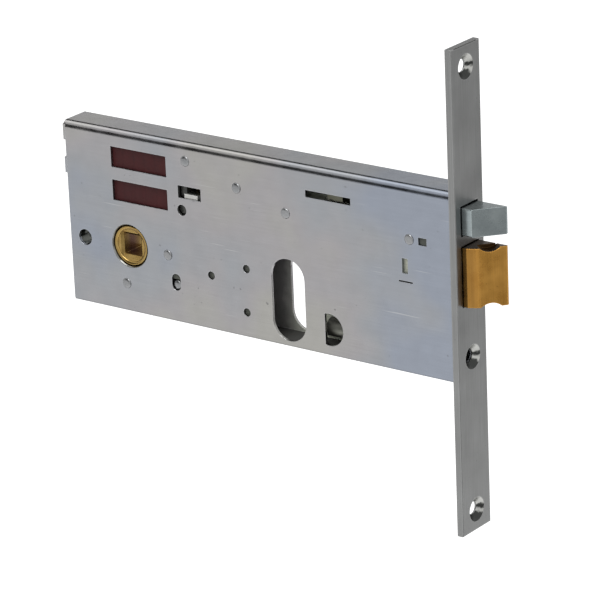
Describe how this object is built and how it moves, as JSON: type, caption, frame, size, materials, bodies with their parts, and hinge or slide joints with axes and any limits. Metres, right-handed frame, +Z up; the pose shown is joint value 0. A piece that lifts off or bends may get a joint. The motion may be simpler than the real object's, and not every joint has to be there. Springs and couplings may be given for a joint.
{
  "type": "electric mortise lock",
  "caption": "Electric mortise lock: long flat steel case behind a narrow faceplate, with a bevelled brass latch, a bevelled steel auxiliary bolt, a handle follower and a cylinder cut-out.",
  "frame": {"origin": "middle of the faceplate's front face, half way between its two fixing screws", "axes": "+X leaves the door edge towards the strike, +Z is up, -Y is the cover side of the case"},
  "size_m": [0.2165, 0.02, 0.206],
  "materials": {
    "faceplate_steel": "satin zinc-plated steel",
    "case_zinc": "bright zinc-plated sheet",
    "post_steel": "turned steel",
    "inner_steel": "stamped steel",
    "magnet_iron": "soft iron",
    "bobbin_plastic": "moulded",
    "coil_wrap": "varnished wrap",
    "lead_enamel": "enamelled wire",
    "spring_steel": "drawn wire",
    "terminal_plastic": "moulded",
    "strip_white": "moulded",
    "terminal_brass": "turned",
    "latch_brass": "satin",
    "follower_brass": "satin",
    "bolt_steel": "ground steel"
  },
  "bodies": {
    "case": {"faceplate": "faceplate_steel", "case_pan": "case_zinc", "case_cover": "case_zinc", "case_posts": "post_steel", "anchor_post": "post_steel", "fixing_tube": "post_steel", "guide_plate": "inner_steel", "screw_sleeve": "inner_steel", "lever_pivot": "post_steel", "magnet_yoke": "magnet_iron", "magnet_cores": "magnet_iron", "coil_bobbins": "bobbin_plastic", "coil_windings": "coil_wrap", "coil_leads": "lead_enamel", "armature_pivot": "post_steel", "armature_spring": "spring_steel", "terminal_block": "terminal_plastic", "terminal_screws": "terminal_brass", "terminal_strip": "strip_white", "latch_spring": "spring_steel", "upper_bolt_spring": "spring_steel"},
    "latch": {"latch_bolt": "latch_brass", "draw_bar": "inner_steel", "latch_rivets": "post_steel", "bar_pins": "post_steel", "latch_spring_rod": "post_steel"},
    "upper_bolt": {"upper_bolt": "bolt_steel", "upper_bolt_tail": "inner_steel", "upper_bolt_rivet": "post_steel"},
    "follower": {"follower_hub": "follower_brass"},
    "cylinder_lever": {"cylinder_lever": "inner_steel"},
    "armature": {"catch_lever": "inner_steel", "armature_plate": "magnet_iron"}
  },
  "joints": [
    {"name": "latch_slide", "type": "slide", "parent": "case", "child": "latch", "axis": [-1, 0, 0], "range_m": [0, 0.013], "stiffness_N_per_m": 250, "springref_m": -0.012, "deforming": ["latch_spring"]},
    {"name": "upper_bolt_slide", "type": "slide", "parent": "case", "child": "upper_bolt", "axis": [-1, 0, 0], "range_m": [0, 0.012], "stiffness_N_per_m": 200, "springref_m": -0.012, "deforming": ["upper_bolt_spring"]},
    {"name": "follower_turn", "type": "hinge", "parent": "case", "child": "follower", "pos_m": [-0.169, 0, -0.0076], "axis": [0, -1, 0], "range_deg": [0, 52.4]},
    {"name": "cylinder_lever_turn", "type": "hinge", "parent": "case", "child": "cylinder_lever", "pos_m": [-0.06, 0, -0.017], "axis": [0, -1, 0], "range_deg": [0, 32.3]},
    {"name": "armature_turn", "type": "hinge", "parent": "case", "child": "armature", "pos_m": [-0.1399, 0, 0.0133], "axis": [0, -1, 0], "range_deg": [0, 3.2], "stiffness_Nm_per_rad": 0.02, "springref_deg": -11.46, "deforming": ["armature_spring"]}
  ],
  "couplings": [
    {"joint": "follower_turn", "follows": "latch_slide", "rad_per_m": 69.936},
    {"joint": "cylinder_lever_turn", "follows": "latch_slide", "rad_per_m": 42.905}
  ]
}
